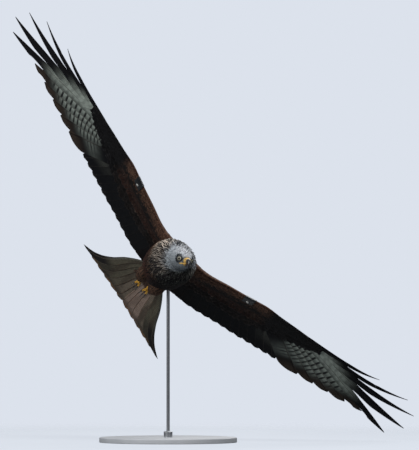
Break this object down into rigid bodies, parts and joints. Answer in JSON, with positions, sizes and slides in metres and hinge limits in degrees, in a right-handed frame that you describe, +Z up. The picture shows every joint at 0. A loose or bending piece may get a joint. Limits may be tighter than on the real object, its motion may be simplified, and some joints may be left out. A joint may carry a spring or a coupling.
{
  "type": "red kite bird model in flight",
  "caption": "Life-size red kite in a banked glide, wings and forked tail spread, head turned down, tag over each wing's leading edge, held by a rod on a flat round base.",
  "frame": {"origin": "centre of the round base's underside, on the floor, straight below the rod", "axes": "+Z up along the rod; the bird flies towards -Y with its nose up and to +X, its left wing low at +X and its right wing high at -X"},
  "size_m": [1.1126, 0.5862, 1.1871],
  "materials": {
    "body_plumage": "dark reddish-brown feathers with black streaks",
    "rust_plumage": "rust feathers with black centres and pale buff edges",
    "head_plumage": "pale blue-grey feathers with fine dark streaks",
    "wing_coverts": "rufous and blackish-brown covert feathers with buff tips",
    "flight_feathers": "dark brown vanes, the inner ones of the hand pale grey with dark bars",
    "black_feathers": "black vanes",
    "tail_feathers": "rufous above and grey-brown below, with faint dark bars and blackish corners",
    "bill_horn": "blackish horn, smooth",
    "yellow_skin": "yellow-orange bare skin",
    "claw_horn": "black horn, smooth",
    "eye_surface": "pale amber iris, black pupil, wet and glossy",
    "tag_plastic": "black flexible sheet",
    "rod_steel": "brushed, satin",
    "base_paint": "painted a plain pale grey, satin"
  },
  "bodies": {
    "root": {"leg_left_thigh": "body_plumage", "leg_right_thigh": "body_plumage", "trunk": "body_plumage", "neck": "rust_plumage", "tail_base": "rust_plumage", "head": "head_plumage", "wing_left_forearm": "wing_coverts", "wing_left_hand": "wing_coverts", "wing_left_upper_arm": "wing_coverts", "wing_right_forearm": "wing_coverts", "wing_right_hand": "wing_coverts", "wing_right_upper_arm": "wing_coverts", "wing_left_primaries_1_4": "flight_feathers", "wing_left_secondaries": "flight_feathers", "wing_right_primaries_1_4": "flight_feathers", "wing_right_secondaries": "flight_feathers", "wing_left_primary_05": "black_feathers", "wing_left_primary_06": "black_feathers", "wing_left_primary_07": "black_feathers", "wing_left_primary_08": "black_feathers", "wing_left_primary_09": "black_feathers", "wing_left_primary_10": "black_feathers", "wing_right_primary_05": "black_feathers", "wing_right_primary_06": "black_feathers", "wing_right_primary_07": "black_feathers", "wing_right_primary_08": "black_feathers", "wing_right_primary_09": "black_feathers", "wing_right_primary_10": "black_feathers", "tail_left_feather_1": "tail_feathers", "tail_left_feather_2": "tail_feathers", "tail_left_feather_3": "tail_feathers", "tail_left_feather_4": "tail_feathers", "tail_left_feather_5": "tail_feathers", "tail_left_feather_6": "tail_feathers", "tail_right_feather_1": "tail_feathers", "tail_right_feather_2": "tail_feathers", "tail_right_feather_3": "tail_feathers", "tail_right_feather_4": "tail_feathers", "tail_right_feather_5": "tail_feathers", "tail_right_feather_6": "tail_feathers", "bill_upper": "bill_horn", "bill_lower": "yellow_skin", "cere": "yellow_skin", "leg_left_foot": "yellow_skin", "leg_right_foot": "yellow_skin", "leg_left_claw_1": "claw_horn", "leg_left_claw_2": "claw_horn", "leg_left_claw_3": "claw_horn", "leg_left_claw_4": "claw_horn", "leg_right_claw_1": "claw_horn", "leg_right_claw_2": "claw_horn", "leg_right_claw_3": "claw_horn", "leg_right_claw_4": "claw_horn", "eye_left": "eye_surface", "eye_right": "eye_surface", "wing_tag_left": "tag_plastic", "wing_tag_right": "tag_plastic", "stand_rod": "rod_steel", "stand_base": "base_paint"}
  },
  "joints": []
}
